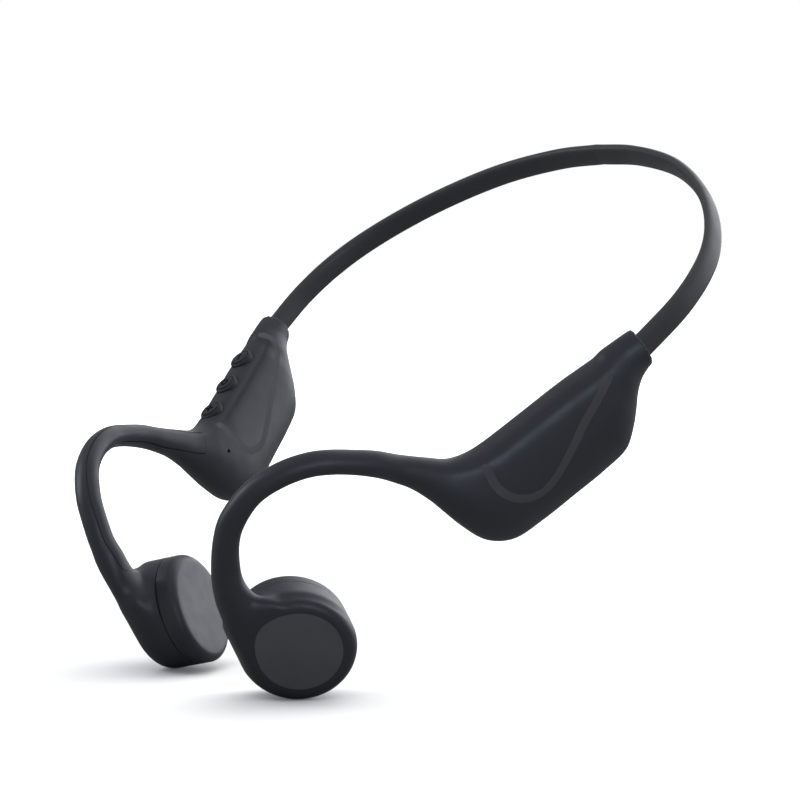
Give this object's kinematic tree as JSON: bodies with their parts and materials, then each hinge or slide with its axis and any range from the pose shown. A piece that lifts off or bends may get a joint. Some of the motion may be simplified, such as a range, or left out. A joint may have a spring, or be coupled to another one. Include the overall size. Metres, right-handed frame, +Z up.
{
  "type": "bone conduction headphones",
  "caption": "Open-ear bone conduction headset: ear hooks with vibrating pods, slim electronics housings with control buttons, and a springy neckband behind the head.",
  "frame": {"origin": "bottom centre of the bounding box: on the symmetry plane, at floor level, half way between the pods' front and the band's back", "axes": "+X to the wearer's left, -Y the way the wearer faces, +Z up; the headset rests on its pods with the neckband raised 41 degrees"},
  "size_m": [0.1238, 0.1134, 0.1038],
  "materials": {
    "soft_touch_shell": "soft-touch matte, near black with a cool tint",
    "band_rubber": "smooth matte silicone, neutral dark grey",
    "pad_silicone": "matte dark silicone, the face that rests on the skin",
    "disc_insert": "fine satin, slightly warmer than the shell",
    "button_rubber": "matte rubber",
    "titanium_wire": "drawn memory wire",
    "steel": "plated sheet",
    "magnet": "nickel plated",
    "copper_coil": "enamelled copper winding",
    "cable_sheath": "matte sheath",
    "circuit_board": "solder mask",
    "gold_contact": "gold plated",
    "light_pipe": "frosted clear",
    "cell_foil": "laminated foil pouch",
    "foam": "open-cell foam"
  },
  "bodies": {
    "right_arm": {"right_hook_skin": "soft_touch_shell", "right_hook_core_wire": "titanium_wire", "right_hook_strip": "soft_touch_shell", "right_housing_shell": "soft_touch_shell", "right_housing_cover": "soft_touch_shell", "right_pod_shell": "soft_touch_shell", "right_pod_disc": "disc_insert", "right_exciter_yoke": "steel", "right_exciter_magnet": "magnet", "right_exciter_spring": "steel", "neckband_jacket_right": "band_rubber", "neckband_spring_wire_right": "titanium_wire", "neckband_cable_right": "cable_sheath", "tact_switch_volume_up": "steel", "tact_switch_play": "steel", "tact_switch_volume_down": "steel", "button_board": "circuit_board", "main_board": "circuit_board", "radio_shield": "steel", "microphone": "steel", "charge_contact_1": "gold_contact", "charge_contact_2": "gold_contact", "status_light": "light_pipe"},
    "left_arm": {"left_hook_skin": "soft_touch_shell", "left_hook_core_wire": "titanium_wire", "left_hook_strip": "soft_touch_shell", "left_housing_shell": "soft_touch_shell", "left_housing_cover": "soft_touch_shell", "left_pod_shell": "soft_touch_shell", "left_pod_disc": "disc_insert", "left_exciter_yoke": "steel", "left_exciter_magnet": "magnet", "left_exciter_spring": "steel", "neckband_jacket_left": "band_rubber", "neckband_spring_wire_left": "titanium_wire", "neckband_cable_left": "cable_sheath", "battery_cell": "cell_foil", "battery_foam": "foam", "battery_board": "circuit_board"},
    "right_exciter": {"right_vibration_pad": "pad_silicone", "right_pod_cap": "pad_silicone", "right_exciter_armature": "steel", "right_exciter_coil": "copper_coil"},
    "left_exciter": {"left_vibration_pad": "pad_silicone", "left_pod_cap": "pad_silicone", "left_exciter_armature": "steel", "left_exciter_coil": "copper_coil"},
    "button_volume_up": {"button_volume_up": "button_rubber"},
    "button_play": {"button_play": "button_rubber"},
    "button_volume_down": {"button_volume_down": "button_rubber"}
  },
  "joints": [
    {"name": "neckband_flex", "type": "hinge", "parent": "right_arm", "child": "left_arm", "pos_m": [0, 0.05487, 0.10177], "axis": [0, -0.6587, 0.7524], "range_deg": [-6, 22], "stiffness_Nm_per_rad": 0.9},
    {"name": "button_volume_up_press", "type": "slide", "parent": "right_arm", "child": "button_volume_up", "axis": [0, 0.6587, -0.7524], "range_m": [0, 0.0004], "stiffness_N_per_m": 25},
    {"name": "button_play_press", "type": "slide", "parent": "right_arm", "child": "button_play", "axis": [0, 0.6587, -0.7524], "range_m": [0, 0.0004], "stiffness_N_per_m": 25},
    {"name": "button_volume_down_press", "type": "slide", "parent": "right_arm", "child": "button_volume_down", "axis": [0, 0.6587, -0.7524], "range_m": [0, 0.0004], "stiffness_N_per_m": 25},
    {"name": "right_exciter_travel", "type": "slide", "parent": "right_arm", "child": "right_exciter", "axis": [0.7854, 0.5156, 0.3425], "range_m": [-0.0001, 0.0001], "stiffness_N_per_m": 150},
    {"name": "left_exciter_travel", "type": "slide", "parent": "left_arm", "child": "left_exciter", "axis": [-0.7854, 0.5156, 0.3425], "range_m": [-0.0001, 0.0001], "stiffness_N_per_m": 150}
  ]
}
